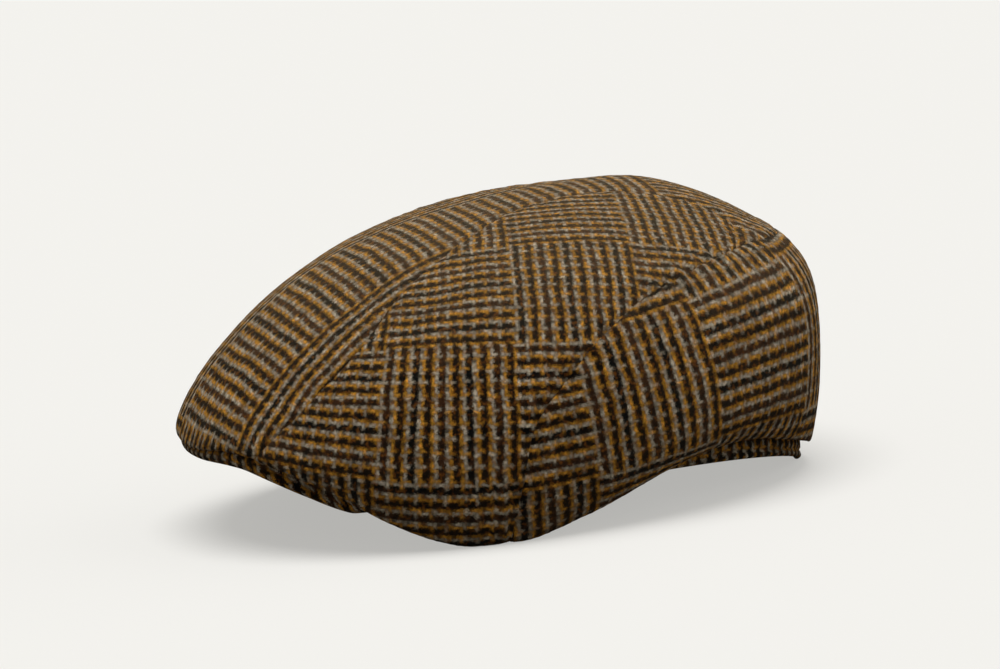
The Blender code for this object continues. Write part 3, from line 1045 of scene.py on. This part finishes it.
# The photograph's view: where the camera stands round the cap, and how its picture is framed.
CAMERA_AZIMUTH = 70.0
CAMERA_ELEVATION = 9.013
CAMERA_ROLL = -5.038
CAMERA_DISTANCE = 1.7
CAMERA_AIM = (0.0, 0.01185, 0.060)
CAMERA_LENS = 143.7
CAMERA_SHIFT = (-0.0227, 0.0166)
CAMERA_SENSOR = 36.0
CAMERA_CLIP = (0.1, 50.0)

# The stage: the radius of its floor in metres, the paper as the camera sees it and as it lights
# the cap, the glow that only the camera sees, and the light of the room on the cap.
FLOOR_RADIUS = 12.0
PAPER_SEEN = "#A6A5A2"
PAPER_BOUNCE = "#7C7976"
FLOOR_GLOW = 0.50
ROOM_LIGHT = 0.22

# Soft lights: name, direction towards it, spread in degrees, and strength.
SOFT_LIGHTS = (
    ("soft light above", (0.10, -0.04, 1.0), 50.0, 2.85),
    ("weak light behind", (0.35, 1.0, 0.40), 70.0, 0.60),
)


def backdrop_material():
    """Matt seamless paper over a light table, a plain pale ground with a faint shadow.

    The camera sees the paper paler than it lights the cap, so the sides of the cap stay darker
    than its top.
    """
    material = bpy.data.materials.new("seamless paper, matt")
    material.use_nodes = True
    tree = material.node_tree
    shader = tree.nodes["Principled BSDF"]
    seen = add(tree, "LightPath").outputs["Is Camera Ray"]
    paper = add(tree, "Mix", {0: seen, 6: linear(PAPER_BOUNCE), 7: linear(PAPER_SEEN)},
                data_type="RGBA").outputs[2]
    tree.links.new(paper, shader.inputs["Base Color"])
    glow = add(tree, "Math", (seen, FLOOR_GLOW), operation="MULTIPLY").outputs[0]
    tree.links.new(glow, shader.inputs["Emission Strength"])
    shader.inputs["Emission Color"].default_value = tuple(colours().floor)
    shader.inputs["Roughness"].default_value = 1.0
    shader.inputs["Specular IOR Level"].default_value = 0.0
    return material


def pale_room():
    """A room that looks as pale as the floor and gives a weak even light."""
    world = bpy.data.worlds.new("pale room")
    world.use_nodes = True
    tree = world.node_tree
    ground = tree.nodes["Background"]
    ground.inputs["Color"].default_value = tuple(colours().floor)
    seen = add(tree, "LightPath").outputs["Is Camera Ray"]
    strength = add(tree, "MapRange", {0: seen, 3: ROOM_LIGHT, 4: 1.0}).outputs[0]
    tree.links.new(strength, ground.inputs["Strength"])
    return world


def soft_light(name, towards, spread, strength):
    """Light from a large soft box far off, which falls evenly on all of the floor."""
    lamp = bpy.data.lights.new(name, "SUN")
    lamp.angle = math.radians(spread)
    lamp.energy = strength
    made = bpy.data.objects.new(name, lamp)
    made.rotation_euler = Vector(towards).to_track_quat("Z", "Y").to_euler()
    bpy.context.scene.collection.objects.link(made)


class CAP_OT_stage(bpy.types.Operator):
    """Makes the plain floor, the soft light and the camera"""

    bl_idname = "cap.stage"
    bl_label = "Stage"

    def execute(self, context):
        scene = context.scene
        mesh = bmesh.new()
        bmesh.ops.create_circle(mesh, cap_ends=True, radius=FLOOR_RADIUS, segments=64)
        floor = made_object("floor", mesh)
        floor.data.materials.append(backdrop_material())

        scene.world = pale_room()
        for light in SOFT_LIGHTS:
            soft_light(*light)

        azimuth = math.radians(CAMERA_AZIMUTH)
        elevation = math.radians(CAMERA_ELEVATION)
        back = Vector((math.sin(azimuth) * math.cos(elevation),
                       -math.cos(azimuth) * math.cos(elevation), math.sin(elevation)))
        lens = bpy.data.cameras.new("camera")
        lens.lens = CAMERA_LENS
        lens.sensor_width = CAMERA_SENSOR
        lens.shift_x, lens.shift_y = CAMERA_SHIFT
        lens.clip_start, lens.clip_end = CAMERA_CLIP
        lens.dof.use_dof = False
        camera = bpy.data.objects.new("camera", lens)
        level = back.to_track_quat("Z", "Y").to_matrix()
        roll = Matrix.Rotation(math.radians(CAMERA_ROLL), 3, "Z")
        camera.matrix_world = (Matrix.Translation(Vector(CAMERA_AIM) + back * CAMERA_DISTANCE)
                               @ (level @ roll).to_4x4())
        scene.collection.objects.link(camera)
        scene.camera = camera
        scene.view_settings.view_transform = "Standard"
        return {"FINISHED"}


class CAP_PT_panel(bpy.types.Panel):
    """Lists the pieces of the cap in the sidebar"""

    bl_label = "Tweed flat cap"
    bl_idname = "CAP_PT_panel"
    bl_space_type = "VIEW_3D"
    bl_region_type = "UI"
    bl_category = "Cap"

    def draw(self, context):
        for maker in MAKERS:
            self.layout.operator(maker.bl_idname)
        for group in (context.scene.cap_sizes, context.scene.cap_colours):
            for name in group.bl_rna.properties.keys():
                if name not in ("rna_type", "name"):
                    self.layout.prop(group, name)


MAKERS = (CAP_OT_stage, CAP_OT_top_panel, CAP_OT_side_panels, CAP_OT_back_panel, CAP_OT_peak,
          CAP_OT_rim_band)
CLASSES = (CapSizes, CapColours, *MAKERS, CAP_PT_panel)


def register():
    for kind in CLASSES:
        bpy.utils.register_class(kind)
    bpy.types.Scene.cap_sizes = bpy.props.PointerProperty(type=CapSizes)
    bpy.types.Scene.cap_colours = bpy.props.PointerProperty(type=CapColours)


def unregister():
    del bpy.types.Scene.cap_colours
    del bpy.types.Scene.cap_sizes
    for kind in reversed(CLASSES):
        bpy.utils.unregister_class(kind)


def main():
    register()
    bpy.ops.cap.stage()
    bpy.ops.cap.top_panel()
    bpy.ops.cap.side_panels()
    bpy.ops.cap.back_panel()
    bpy.ops.cap.peak()
    bpy.ops.cap.rim_band()


if __name__ == "__main__":
    main()
